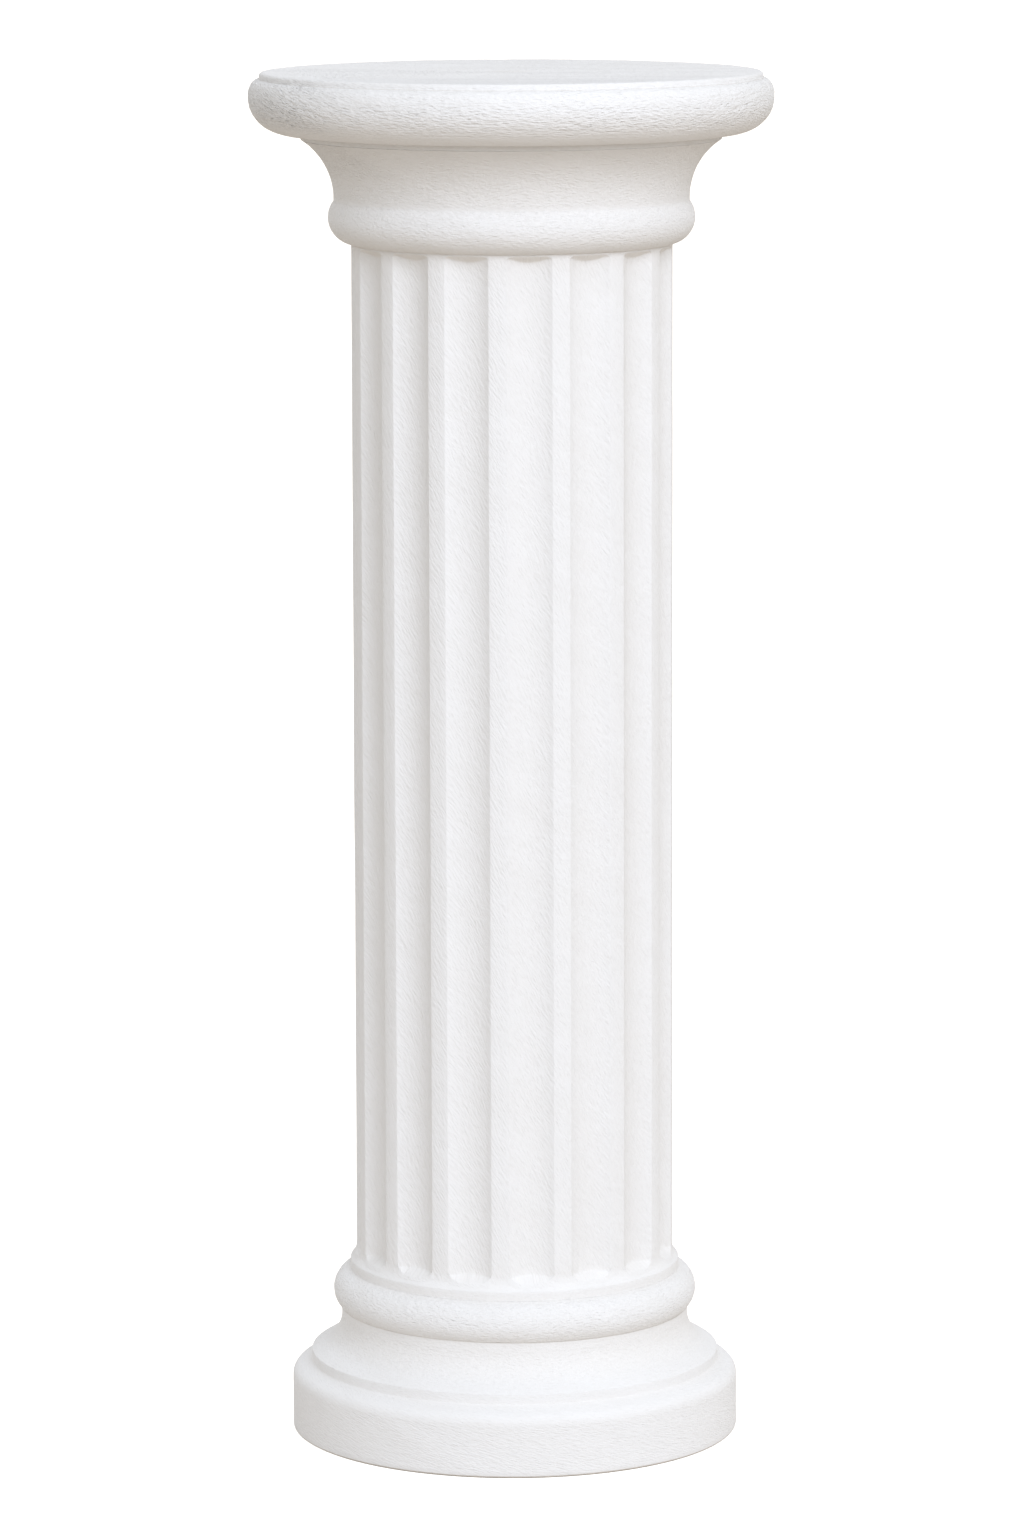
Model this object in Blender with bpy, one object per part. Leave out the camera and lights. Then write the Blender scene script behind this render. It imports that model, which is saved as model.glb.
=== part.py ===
"""Doric pedestal column, cast as one piece: round base, fluted shaft and round moulded cap.

Metres, +Z up. The column stands on z = 0 with its axis on Z, and the side shown in front faces -Y.
The profile is turned about the axis, and the flutes are cut out of the shaft by one row of cutters.
"""

import math

import bmesh
import bpy

# Whole column
COLUMN_HEIGHT = 1.000

# Shaft, which widens a little towards its foot
SHAFT_HEAD_RADIUS = 0.1166
SHAFT_FOOT_RADIUS = 0.1170

# Flutes. Each is a shallow round channel whose two ends slope up to the surface
FLUTE_COUNT = 16
FLUTE_SHARE_OF_PITCH = 0.71
FLUTE_DEPTH = 0.0068
FRONT_FILLET_TURN = math.radians(-5.0)
FLUTE_FOOT_GAP = 0.0056
FLUTE_FOOT_SLOPE = math.radians(35)
FLUTE_FOOT_CORNER_HEIGHT = 0.0060
FLUTE_FOOT_CORNER_SHARE = 0.66
FLUTE_HEAD_GAP = 0.0013
FLUTE_HEAD_SLOPE = math.radians(32)
FLUTE_HEAD_CORNER_HEIGHT = 0.0026
FLUTE_HEAD_CORNER_SHARE = 0.27

# Base, from the floor up. A projection is how far a moulding stands out past the one above it
PLINTH_PROJECTION = 0.0142
PLINTH_HEIGHT = 0.0510
PLINTH_FOOT_ROUND = 0.0020
PLINTH_TOP_ROUND = 0.0090
PLINTH_TOP_SLOPE = math.radians(24)
STEP_PROJECTION = 0.0223
STEP_HEIGHT = 0.0074
FLARE_SLOPE = math.radians(30)
FLARE_COVE_RADIUS = 0.0240
BASE_NECK_PROJECTION = 0.0111
BASE_NECK_HEIGHT = 0.0059
TORUS_PROJECTION = 0.0171
TORUS_RADIUS = 0.0168
BAND_PROJECTION = 0.0045
BAND_HEIGHT = 0.0070
SHAFT_COVE_RADIUS = 0.0130

# Cap, from the top down
TOP_EDGE_ROUND = 0.0030
TOP_FILLET_HEIGHT = 0.0047
SHOULDER_PROJECTION = 0.0081
SHOULDER_HEIGHT = 0.0123
RIM_HEIGHT = 0.0016
BULLNOSE_ROUND_WIDTH = 0.0290
BULLNOSE_ROUND_HEIGHT = 0.0260
BULLNOSE_PROJECTION = 0.0378
UNDER_FILLET_HEIGHT = 0.0042
CAVETTO_RADIUS = 0.0502
CAVETTO_PROJECTION = 0.0233
CAP_NECK_PROJECTION = 0.0124
CAP_NECK_HEIGHT = 0.0015
ASTRAGAL_PROJECTION = 0.0166
ASTRAGAL_RADIUS = 0.0195

# Facets. No facet of the outline stands further than this off its true curve
PROFILE_SAG = 0.00030
TURNED_SIDES = 80
FLUTE_HALF_STEPS = 4
SHARP_ANGLE = math.radians(24)

# Share of a flute's half width by which its cutter reaches past the flute's edges
CUTTER_MARGIN = 0.03

# Radii that follow from the sizes above
BAND_RADIUS = SHAFT_FOOT_RADIUS + BAND_PROJECTION
TORUS_CENTRE = SHAFT_FOOT_RADIUS + TORUS_PROJECTION - TORUS_RADIUS
BASE_NECK_RADIUS = SHAFT_FOOT_RADIUS + BASE_NECK_PROJECTION
STEP_RADIUS = BASE_NECK_RADIUS + STEP_PROJECTION
PLINTH_RADIUS = STEP_RADIUS + PLINTH_PROJECTION
ASTRAGAL_CENTRE = SHAFT_HEAD_RADIUS + ASTRAGAL_PROJECTION - ASTRAGAL_RADIUS
CAP_NECK_RADIUS = SHAFT_HEAD_RADIUS + CAP_NECK_PROJECTION
UNDER_FILLET_RADIUS = CAP_NECK_RADIUS + CAVETTO_PROJECTION
BULLNOSE_RADIUS = UNDER_FILLET_RADIUS + BULLNOSE_PROJECTION
TOP_RADIUS = BULLNOSE_RADIUS - SHOULDER_PROJECTION


def arc(centre, size, start, end):
    """Points (radius, height) on a round stretch, from one angle in degrees to another."""
    widest_step = 2 * math.degrees(math.acos(1 - PROFILE_SAG / max(size)))
    steps = math.ceil(abs(end - start) / widest_step)
    angles = [math.radians(start + (end - start) * i / steps) for i in range(steps + 1)]
    return [(centre[0] + size[0] * math.cos(a), centre[1] + size[1] * math.sin(a)) for a in angles]


def circle_angle(radius, centre, size):
    """Degrees at which a circle about centre passes a given radius from the column's axis."""
    return math.degrees(math.acos((radius - centre) / size))


def base_profile():
    """The base's outline from the floor up to the foot of the shaft."""
    foot = PLINTH_FOOT_ROUND
    points = arc((PLINTH_RADIUS - foot, foot), (foot, foot), -90, 0)
    top = PLINTH_TOP_ROUND
    steepest = 90 - math.degrees(PLINTH_TOP_SLOPE)
    round_end = PLINTH_RADIUS - top + top * math.cos(math.radians(steepest))
    rise = (round_end - STEP_RADIUS) * math.tan(PLINTH_TOP_SLOPE)
    centre_height = PLINTH_HEIGHT - rise - top * math.sin(math.radians(steepest))
    points += arc((PLINTH_RADIUS - top, centre_height), (top, top), 0, steepest)
    step_top = PLINTH_HEIGHT + STEP_HEIGHT
    points += [(STEP_RADIUS, PLINTH_HEIGHT), (STEP_RADIUS, step_top)]
    cove = FLARE_COVE_RADIUS
    cove_centre = BASE_NECK_RADIUS + cove
    cove_sweep = 90 - math.degrees(FLARE_SLOPE)
    cone_end = cove_centre - cove * math.cos(math.radians(cove_sweep))
    cone_top = step_top + (STEP_RADIUS - cone_end) * math.tan(FLARE_SLOPE)
    neck_foot = cone_top + cove * math.sin(math.radians(cove_sweep))
    points += arc((cove_centre, neck_foot), (cove, cove), 180 + cove_sweep, 180)
    torus = TORUS_RADIUS
    lower = circle_angle(BASE_NECK_RADIUS, TORUS_CENTRE, torus)
    upper = circle_angle(BAND_RADIUS, TORUS_CENTRE, torus)
    torus_height = neck_foot + BASE_NECK_HEIGHT + torus * math.sin(math.radians(lower))
    points += arc((TORUS_CENTRE, torus_height), (torus, torus), -lower, upper)
    band_top = torus_height + torus * math.sin(math.radians(upper)) + BAND_HEIGHT
    cove = SHAFT_COVE_RADIUS
    sweep = circle_angle(-BAND_RADIUS, -SHAFT_FOOT_RADIUS - cove, cove)
    shaft_foot = band_top + cove * math.sin(math.radians(sweep))
    points += arc((SHAFT_FOOT_RADIUS + cove, shaft_foot), (cove, cove), 180 + sweep, 180)
    return points, band_top


def cap_profile():
    """The cap's outline from the head of the shaft up to the top's edge."""
    edge = TOP_EDGE_ROUND
    top = arc((TOP_RADIUS - edge, COLUMN_HEIGHT - edge), (edge, edge), 0, 90)
    rim_top = COLUMN_HEIGHT - TOP_FILLET_HEIGHT - SHOULDER_HEIGHT
    shoulder = arc((TOP_RADIUS, rim_top), (SHOULDER_PROJECTION, SHOULDER_HEIGHT), 0, 90)
    rim_foot = rim_top - RIM_HEIGHT
    bullnose_size = (BULLNOSE_ROUND_WIDTH, BULLNOSE_ROUND_HEIGHT)
    bullnose_centre = BULLNOSE_RADIUS - BULLNOSE_ROUND_WIDTH
    bullnose = arc((bullnose_centre, rim_foot), bullnose_size, -90, 0)
    fillet_top = rim_foot - BULLNOSE_ROUND_HEIGHT
    cavetto = CAVETTO_RADIUS
    cavetto_centre = CAP_NECK_RADIUS + cavetto
    sweep = circle_angle(-UNDER_FILLET_RADIUS, -cavetto_centre, cavetto)
    cavetto_height = cavetto * math.sin(math.radians(sweep))
    cavetto_foot = fillet_top - UNDER_FILLET_HEIGHT - cavetto_height
    hollow = arc((cavetto_centre, cavetto_foot), (cavetto, cavetto), 180, 180 - sweep)
    ring = ASTRAGAL_RADIUS
    upper = circle_angle(CAP_NECK_RADIUS, ASTRAGAL_CENTRE, ring)
    lower = circle_angle(SHAFT_HEAD_RADIUS, ASTRAGAL_CENTRE, ring)
    ring_height = cavetto_foot - CAP_NECK_HEIGHT - ring * math.sin(math.radians(upper))
    astragal = arc((ASTRAGAL_CENTRE, ring_height), (ring, ring), -lower, upper)
    under_fillet = [(UNDER_FILLET_RADIUS, fillet_top)]
    shaft_head = astragal[0][1]
    return astragal + hollow + under_fillet + bullnose + shoulder + top, shaft_head


def turned_body(profile):
    """A closed mesh of the outline turned about Z, with a flat underside and top."""
    bm = bmesh.new()
    rings = []
    for radius, height in profile:
        turns = [2 * math.pi * i / TURNED_SIDES for i in range(TURNED_SIDES)]
        places = [(radius * math.cos(a), radius * math.sin(a), height) for a in turns]
        rings.append([bm.verts.new(place) for place in places])
    for lower, upper in zip(rings, rings[1:]):
        for i in range(TURNED_SIDES):
            j = (i + 1) % TURNED_SIDES
            bm.faces.new((lower[i], lower[j], upper[j], upper[i]))
    bm.faces.new(rings[0][::-1])
    bm.faces.new(rings[-1])
    mesh = bpy.data.meshes.new("column")
    bm.to_mesh(mesh)
    bm.free()
    return mesh


def flute_half_angle():
    return math.pi / FLUTE_COUNT * FLUTE_SHARE_OF_PITCH


def flute_wall_radius(angle, shaft_radius):
    """Distance of a flute's round wall from the axis, at an angle from the flute's middle."""
    half_width = shaft_radius * math.sin(flute_half_angle())
    bottom = shaft_radius - FLUTE_DEPTH
    below_chord = shaft_radius * math.cos(flute_half_angle()) - bottom
    wall = (half_width**2 + below_chord**2) / (2 * below_chord)
    centre = bottom + wall
    return centre * math.cos(angle) - math.sqrt(wall**2 - (centre * math.sin(angle)) ** 2)


def corner_rise(angle, share, height):
    """How far the rounding of a flute's end corner stands off the end's straight line."""
    start = flute_half_angle() * (1 - share)
    along = min(1, max(0, (abs(angle) - start) / (flute_half_angle() - start)))
    return height * (1 - math.sqrt(1 - along**2))


def flute_foot_height(angle, radius, band_top):
    slope = (SHAFT_FOOT_RADIUS - radius) * math.tan(FLUTE_FOOT_SLOPE)
    corner = corner_rise(angle, FLUTE_FOOT_CORNER_SHARE, FLUTE_FOOT_CORNER_HEIGHT)
    return band_top + FLUTE_FOOT_GAP + slope + corner


def flute_head_height(angle, radius, shaft_head):
    slope = (SHAFT_HEAD_RADIUS - radius) * math.tan(FLUTE_HEAD_SLOPE)
    corner = corner_rise(angle, FLUTE_HEAD_CORNER_SHARE, FLUTE_HEAD_CORNER_HEIGHT)
    return shaft_head - FLUTE_HEAD_GAP - slope - corner


def flute_angles():
    """Angles across one flute, closer together at its corners and a little past its edges."""
    steps = range(-FLUTE_HALF_STEPS, FLUTE_HALF_STEPS + 1)
    within = [flute_half_angle() * math.sin(math.pi / 2 * i / FLUTE_HALF_STEPS) for i in steps]
    past = flute_half_angle() * (1 + CUTTER_MARGIN)
    return [-past] + within + [past]


def add_flute_cutter(bm, turn, band_top, shaft_head):
    """One closed cutter. Its inner wall is the flute, and its outer wall is clear of the shaft."""
    outer_foot = SHAFT_FOOT_RADIUS + BAND_PROJECTION + FLUTE_FOOT_GAP / 2
    outer_head = SHAFT_HEAD_RADIUS + FLUTE_HEAD_GAP / 2 / math.tan(FLUTE_HEAD_SLOPE)
    columns = []
    for angle in flute_angles():
        inner_foot = flute_wall_radius(angle, SHAFT_FOOT_RADIUS)
        inner_head = flute_wall_radius(angle, SHAFT_HEAD_RADIUS)
        corners = [
            (inner_foot, flute_foot_height(angle, inner_foot, band_top)),
            (outer_foot, flute_foot_height(angle, outer_foot, band_top)),
            (outer_head, flute_head_height(angle, outer_head, shaft_head)),
            (inner_head, flute_head_height(angle, inner_head, shaft_head)),
        ]
        x, y = math.sin(turn + angle), -math.cos(turn + angle)
        columns.append([bm.verts.new((r * x, r * y, z)) for r, z in corners])
    for left, right in zip(columns, columns[1:]):
        for i in range(4):
            j = (i + 1) % 4
            bm.faces.new((left[i], left[j], right[j], right[i]))
    bm.faces.new(columns[0][::-1])
    bm.faces.new(columns[-1])


def flute_cutters(band_top, shaft_head):
    bm = bmesh.new()
    pitch = 2 * math.pi / FLUTE_COUNT
    for i in range(FLUTE_COUNT):
        add_flute_cutter(bm, FRONT_FILLET_TURN + pitch * (i + 0.5), band_top, shaft_head)
    bmesh.ops.recalc_face_normals(bm, faces=bm.faces)
    mesh = bpy.data.meshes.new("flute_cutters")
    bm.to_mesh(mesh)
    bm.free()
    cutters = bpy.data.objects.new("flute_cutters", mesh)
    bpy.context.collection.objects.link(cutters)
    cutters.hide_render = True
    cutters.display_type = "WIRE"
    return cutters


def cut(obj, cutters):
    """Cuts the cutters out of the object and keeps the result as its own mesh."""
    modifier = obj.modifiers.new("flutes", "BOOLEAN")
    modifier.operation = "DIFFERENCE"
    modifier.solver = "EXACT"
    modifier.object = cutters
    graph = bpy.context.evaluated_depsgraph_get()
    mesh = bpy.data.meshes.new_from_object(obj.evaluated_get(graph))
    obj.modifiers.clear()
    obj.data = mesh
    bpy.data.objects.remove(cutters)


def white_plaster():
    material = bpy.data.materials.new("white_plaster")
    material.use_nodes = True
    shader = material.node_tree.nodes["Principled BSDF"]
    shader.inputs["Base Color"].default_value = (0.86, 0.86, 0.85, 1)
    shader.inputs["Roughness"].default_value = 0.85
    shader.inputs["Metallic"].default_value = 0
    return material


def column():
    base, band_top = base_profile()
    cap, shaft_head = cap_profile()
    body = bpy.data.objects.new("column", turned_body(base + cap))
    bpy.context.collection.objects.link(body)
    cut(body, flute_cutters(band_top, shaft_head))
    body.data.materials.clear()
    body.data.materials.append(white_plaster())
    body.data.shade_smooth()
    body.data.set_sharp_from_angle(angle=SHARP_ANGLE)


for old in list(bpy.data.objects):
    bpy.data.objects.remove(old)
column()
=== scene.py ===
"""Looks of the doric pedestal column: one shaped plaster piece, a pale floor, soft light and the camera.

Metres, +Z up, in the frame of the CAD. The sizes below repeat the outline and flutes of the CAD solid.
"""

import math

import bpy
import numpy as np
from mathutils import Matrix, Vector, noise


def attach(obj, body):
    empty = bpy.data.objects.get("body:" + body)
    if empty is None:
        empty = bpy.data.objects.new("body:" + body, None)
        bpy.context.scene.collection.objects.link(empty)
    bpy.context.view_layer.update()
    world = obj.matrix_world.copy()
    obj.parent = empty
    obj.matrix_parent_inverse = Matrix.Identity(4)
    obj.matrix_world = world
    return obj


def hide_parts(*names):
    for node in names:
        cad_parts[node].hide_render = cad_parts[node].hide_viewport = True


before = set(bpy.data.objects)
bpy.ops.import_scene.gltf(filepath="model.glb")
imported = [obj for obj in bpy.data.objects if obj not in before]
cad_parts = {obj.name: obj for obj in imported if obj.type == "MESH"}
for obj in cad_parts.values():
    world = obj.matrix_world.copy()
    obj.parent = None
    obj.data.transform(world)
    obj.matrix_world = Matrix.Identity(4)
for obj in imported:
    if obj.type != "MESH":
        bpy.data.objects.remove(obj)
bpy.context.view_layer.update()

# Whole column and shaft
COLUMN_HEIGHT = 1.000
SHAFT_HEAD_RADIUS = 0.1166
SHAFT_FOOT_RADIUS = 0.1170

# Flutes
FLUTE_COUNT = 16
FLUTE_SHARE_OF_PITCH = 0.71
FLUTE_DEPTH = 0.0068
FRONT_FILLET_TURN = math.radians(-5.0)
FLUTE_FOOT_GAP = 0.0056
FLUTE_FOOT_SLOPE = math.radians(35)
FLUTE_FOOT_CORNER_HEIGHT = 0.0060
FLUTE_FOOT_CORNER_SHARE = 0.66
FLUTE_HEAD_GAP = 0.0013
FLUTE_HEAD_SLOPE = math.radians(32)
FLUTE_HEAD_CORNER_HEIGHT = 0.0026
FLUTE_HEAD_CORNER_SHARE = 0.27

# Base, from the floor up
PLINTH_RADIUS = 0.1646
PLINTH_HEIGHT = 0.0510
PLINTH_FOOT_ROUND = 0.0020
PLINTH_TOP_ROUND = 0.0090
PLINTH_TOP_SLOPE = math.radians(24)
STEP_RADIUS = 0.1504
STEP_HEIGHT = 0.0074
FLARE_SLOPE = math.radians(30)
FLARE_COVE_RADIUS = 0.0240
BASE_NECK_RADIUS = 0.1281
BASE_NECK_HEIGHT = 0.0059
TORUS_CENTRE = 0.1173
TORUS_RADIUS = 0.0168
BAND_RADIUS = 0.1215
BAND_HEIGHT = 0.0070
SHAFT_COVE_RADIUS = 0.0130

# Cap, from the top down
TOP_RADIUS = 0.1820
TOP_EDGE_ROUND = 0.0030
TOP_FILLET_HEIGHT = 0.0047
SHOULDER_PROJECTION = 0.0081
SHOULDER_HEIGHT = 0.0123
RIM_HEIGHT = 0.0016
BULLNOSE_RADIUS = 0.1901
BULLNOSE_ROUND_WIDTH = 0.0290
BULLNOSE_ROUND_HEIGHT = 0.0260
UNDER_FILLET_RADIUS = 0.1523
UNDER_FILLET_HEIGHT = 0.0042
CAVETTO_RADIUS = 0.0502
CAP_NECK_RADIUS = 0.1290
CAP_NECK_HEIGHT = 0.0015
ASTRAGAL_CENTRE = 0.1137
ASTRAGAL_RADIUS = 0.0195

# Mesh. Rings stand CORNER_GAP from a sharp corner, and columns of points ARRIS_GAP from a flute's arris
CORNER_GAP = 0.0005
CORNER_SOFTENING = 0.45
SHARP_TURN = math.radians(20)
TOP_MARGIN = 0.0024
TOP_CENTRE_GAP = 0.004
ARRIS_GAP = 0.00035
ARRIS_CROWDING = 0.45
FLUTE_STEPS = 14
FILLET_STEPS = 3
LEAST_END_SLOPE = 0.0008

# Shaft rings are level between PLAIN_BELOW and PLAIN_ABOVE. The lowest COVE_RINGS carry no flute hatching
SHAFT_RING_SPACING = 0.012
PLAIN_BELOW = 0.150
PLAIN_ABOVE = 0.862
PLAIN_SHAFT_RING = 20
COVE_RINGS = 3

# The columns of points, crowded at the flutes, even out over these heights of base and cap
EVEN_BELOW_BAND = 0.03
EVEN_ABOVE_SHAFT = 0.05

# Mouldings from the floor up: spacing of their rings, and how deep their tool marks are
MOULDINGS = {
    "foot_round": (0.0008, 0.15),
    "plinth_side": (0.0025, 0.26),
    "plinth_round": (0.0018, 0.20),
    "plinth_slope": (0.0022, 0.22),
    "step_side": (0.0018, 0.22),
    "flare_cone": (0.0024, 0.26),
    "flare_cove": (0.0026, 0.32),
    "base_neck": (0.0022, 0.18),
    "torus": (0.0023, 0.52),
    "band_side": (0.0018, 0.22),
    "astragal": (0.0015, 0.48),
    "cap_neck": (0.0015, 0.25),
    "cavetto": (0.0032, 0.46),
    "under_fillet": (0.0014, 0.15),
    "soffit": (0.0025, 0.20),
    "bullnose": (0.00135, 0.75),
    "rim": (0.0016, 0.75),
    "shoulder": (0.0013, 0.60),
    "top_fillet": (0.0017, 0.50),
    "top_edge": (0.0009, 0.40),
    "top_margin": (0.0012, 0.50),
    "top": (0.022, 1.00),
}
SHAFT_MARKS = 0.13

# The bullnose's marks fade towards its smooth underside: start and end in degrees, and depth
BULLNOSE_MARKS = ((-90, -54, 0.3), (-54, -46, 0.4), (-46, -39, 0.55), (-39, -32, 0.68), (-32, 0, 0.75))

# Tool marks. Strokes lean on the plinth and, LEAN_MIDDLE degrees left of the front, on the cap
SKIN_RADIUS = 0.150
STROKE_TILT = math.radians(24)
HATCH_TILT = math.radians(57)
LEAN_MIDDLE = 75.0
LEAN_REACH = 20.0
LEAN_FADE = 35.0
LEAN_EDGE = 0.01
PLINTH_LEAN = 0.75
CAP_FOOT = 0.92

# Layers of marks: a depth, a length along the strokes, a width across them and a shift of the noise
WARP_DEPTH = 0.0040
WARP_LENGTH = 0.045
WARP_SHIFTS = (3.1, 17.7, 41.3)
SWELL_DEPTH = 0.00018
SWELL_LENGTH = 0.080
SWELL_SHIFT = 5.0
LUMP_DEPTH = 0.00020
LUMP_LENGTH = 0.013
LUMP_SHIFT = 9.0
RIDGE_DEPTH = 0.00044
RIDGE_LENGTH = 0.0078
RIDGE_WIDTH = 0.0034
LEVEL_RIDGE_SHIFT = 14.0
LEANING_RIDGE_SHIFT = 27.0
LINE_DEPTH = 0.0018
DRAG_LENGTH = 0.0040
DRAG_WIDTH = 0.0014
TILTED_GAIN = 0.45
HATCH_LENGTH = 0.0060
HATCH_WIDTH = 0.0017
HATCH_SHARE = 0.30
NICK_DEPTH = 0.00014
NICK_LENGTH = 0.0050
NICK_WIDTH = 0.0021
NICK_THINNESS = 14.0

# Plaster: grain, pits and the whites of its surface. Most of a noise lies within NOISE_RANGE
NOISE_RANGE = (0.3, 0.7)
GRAIN_SCALE = 900.0
GRAIN_DEPTH = 0.00014
PIT_SPACING = 0.0075
PIT_SIZE = 0.0011
PIT_DEPTH = 0.00010
CLOUD_SCALE = 22.0
SHADED_WHITE = (0.808, 0.802, 0.794, 1)
CLEAR_WHITE = (0.825, 0.821, 0.817, 1)
STROKE_COLOUR = (0.74, 0.725, 0.705, 1)
STROKE_SHARE = 0.25
STROKE_RANGE = (0.3, 0.5)
ROUGHNESS = (0.80, 0.93)
SPECULAR = 0.3

# Painted shade: warm in hollows, flutes and undersides, and grey on the flat top in streaks and towards its
# front. Hollows count from this depth and within this distance along the outline
HOLLOW_DEPTH = 0.006
HOLLOW_REACH = 0.012
SHADE_IN_HOLLOWS = 0.6
SHADE_IN_FLUTES = 0.1
SHADE_UNDERNEATH = 0.8
WARM_SHADE_COLOUR = (0.735, 0.672, 0.588, 1)
WARM_SHADE_SHARE = 0.45
# Painted shade on the flat top, partly in faint grey streaks
TOP_SHADE_COLOUR = (0.66, 0.66, 0.665, 1)
TOP_SHADE_SHARE = 0.6
STREAK_SCALE = (5.0, 30.0, 0.0)
STREAK_SHARE = 0.35
STREAK_RANGE = (0.4, 0.62)
TOP_SHADE_FRONT = (0.05, 0.175)
TOP_SHADE_FRONT_SHARE = 0.8

# Painted shade: the darkness of the crease at the top of a moulding, of painted shade all over one, and of a
# painted contact shadow at the foot
CREASE_SHADE_COLOUR = (0.56, 0.515, 0.45, 1)
CREASE_SHADE_DEPTHS = {"shoulder": 0.45, "cavetto": 0.35, "base_neck": 0.3, "torus": 0.12}
MOULDING_SHADE_DEPTHS = {"under_fillet": 0.18, "cavetto": 0.08}
FOOT_SHADOW = 0.8
FOOT_SHADOW_HEIGHT = 0.0014

# Camera, as the photo's outline gives it
CAMERA_DISTANCE = 4.7873
CAMERA_HEIGHT = 1.2402
CAMERA_SIDE = -0.0008
CAMERA_PITCH = 0.1551
CAMERA_ROLL = -0.0029
CAMERA_LENS = 155.11
SENSOR = 36.0
CAMERA_REACH = 200

# Studio: a dome that glows most in front, a front light, a weak back light and a floor's warm bounce
DOME_SIDES = {
    "front": ((0, -1, 0), (0.95, 1.0, 1.07)),
    "right": ((1, 0, 0), (0.80, 0.79, 0.775)),
    "left": ((-1, 0, 0), (0.53, 0.52, 0.505)),
    "behind": ((0, 1, 0), (0.60, 0.615, 0.64)),
    "overhead": ((0, 0, 1), (0.34, 0.335, 0.33)),
}
LIGHT_DISTANCE = 3.0
LIGHT_SIZE = 1.5
LIGHT_COLOUR = (0.84, 0.885, 1.0)
FRONT_LIGHT = {"turn": 20, "rise": 31, "power": 33}
BACK_LIGHT = {"turn": 195, "rise": 25, "power": 13}
FLOOR_REACH = 40.0
# The floor's colour is lighter near the column's foot: a painted pool of light, whose bounce lights the
# column
FLOOR_NEAR = (0.68, 0.63, 0.575, 1)
FLOOR_FAR = (0.535, 0.48, 0.41, 1)
FLOOR_FADE = (0.7, 1.3)
FLOOR_GLOW = (0.92, 0.92, 0.92, 1)


class Stretch:
    """One moulding of the outline: its points (radius, height), ring spacing and depth of tool marks."""

    def __init__(self, name, points, marks=None):
        self.name = name
        self.points = np.array(points, float)
        self.spacing, self.marks = MOULDINGS[name]
        if marks is not None:
            self.marks = marks


def arc(centre, size, start, end):
    """Closely spaced points (radius, height) on a round stretch between two angles in degrees."""
    angles = np.radians(np.linspace(start, end, 200))
    return np.column_stack((centre[0] + size[0] * np.cos(angles), centre[1] + size[1] * np.sin(angles)))


def circle_angle(radius, centre, size):
    """Degrees at which a circle about centre passes a given radius from the column's axis."""
    return math.degrees(math.acos((radius - centre) / size))


def base_stretches():
    """The base, from the edge of its underside up to the top of the band below the shaft."""
    foot = PLINTH_FOOT_ROUND
    foot_round = arc((PLINTH_RADIUS - foot, foot), (foot, foot), -90, 0)
    top = PLINTH_TOP_ROUND
    steepest = 90 - math.degrees(PLINTH_TOP_SLOPE)
    round_end = PLINTH_RADIUS - top + top * math.cos(math.radians(steepest))
    rise = (round_end - STEP_RADIUS) * math.tan(PLINTH_TOP_SLOPE)
    centre_height = PLINTH_HEIGHT - rise - top * math.sin(math.radians(steepest))
    top_round = arc((PLINTH_RADIUS - top, centre_height), (top, top), 0, steepest)
    step_foot = (STEP_RADIUS, PLINTH_HEIGHT)
    step_top = (STEP_RADIUS, PLINTH_HEIGHT + STEP_HEIGHT)
    cove = FLARE_COVE_RADIUS
    cove_centre = BASE_NECK_RADIUS + cove
    sweep = 90 - math.degrees(FLARE_SLOPE)
    cone_end = cove_centre - cove * math.cos(math.radians(sweep))
    cone_top = step_top[1] + (STEP_RADIUS - cone_end) * math.tan(FLARE_SLOPE)
    neck_foot = cone_top + cove * math.sin(math.radians(sweep))
    flare = arc((cove_centre, neck_foot), (cove, cove), 180 + sweep, 180)
    neck_top = (BASE_NECK_RADIUS, neck_foot + BASE_NECK_HEIGHT)
    lower = circle_angle(BASE_NECK_RADIUS, TORUS_CENTRE, TORUS_RADIUS)
    upper = circle_angle(BAND_RADIUS, TORUS_CENTRE, TORUS_RADIUS)
    torus_height = neck_top[1] + TORUS_RADIUS * math.sin(math.radians(lower))
    torus = arc((TORUS_CENTRE, torus_height), (TORUS_RADIUS, TORUS_RADIUS), -lower, upper)
    band_top = (BAND_RADIUS, torus[-1][1] + BAND_HEIGHT)
    return [
        Stretch("foot_round", foot_round),
        Stretch("plinth_side", (foot_round[-1], top_round[0])),
        Stretch("plinth_round", top_round),
        Stretch("plinth_slope", (top_round[-1], step_foot)),
        Stretch("step_side", (step_foot, step_top)),
        Stretch("flare_cone", (step_top, flare[0])),
        Stretch("flare_cove", flare),
        Stretch("base_neck", (flare[-1], neck_top)),
        Stretch("torus", torus),
        Stretch("band_side", (torus[-1], band_top)),
    ]


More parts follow.
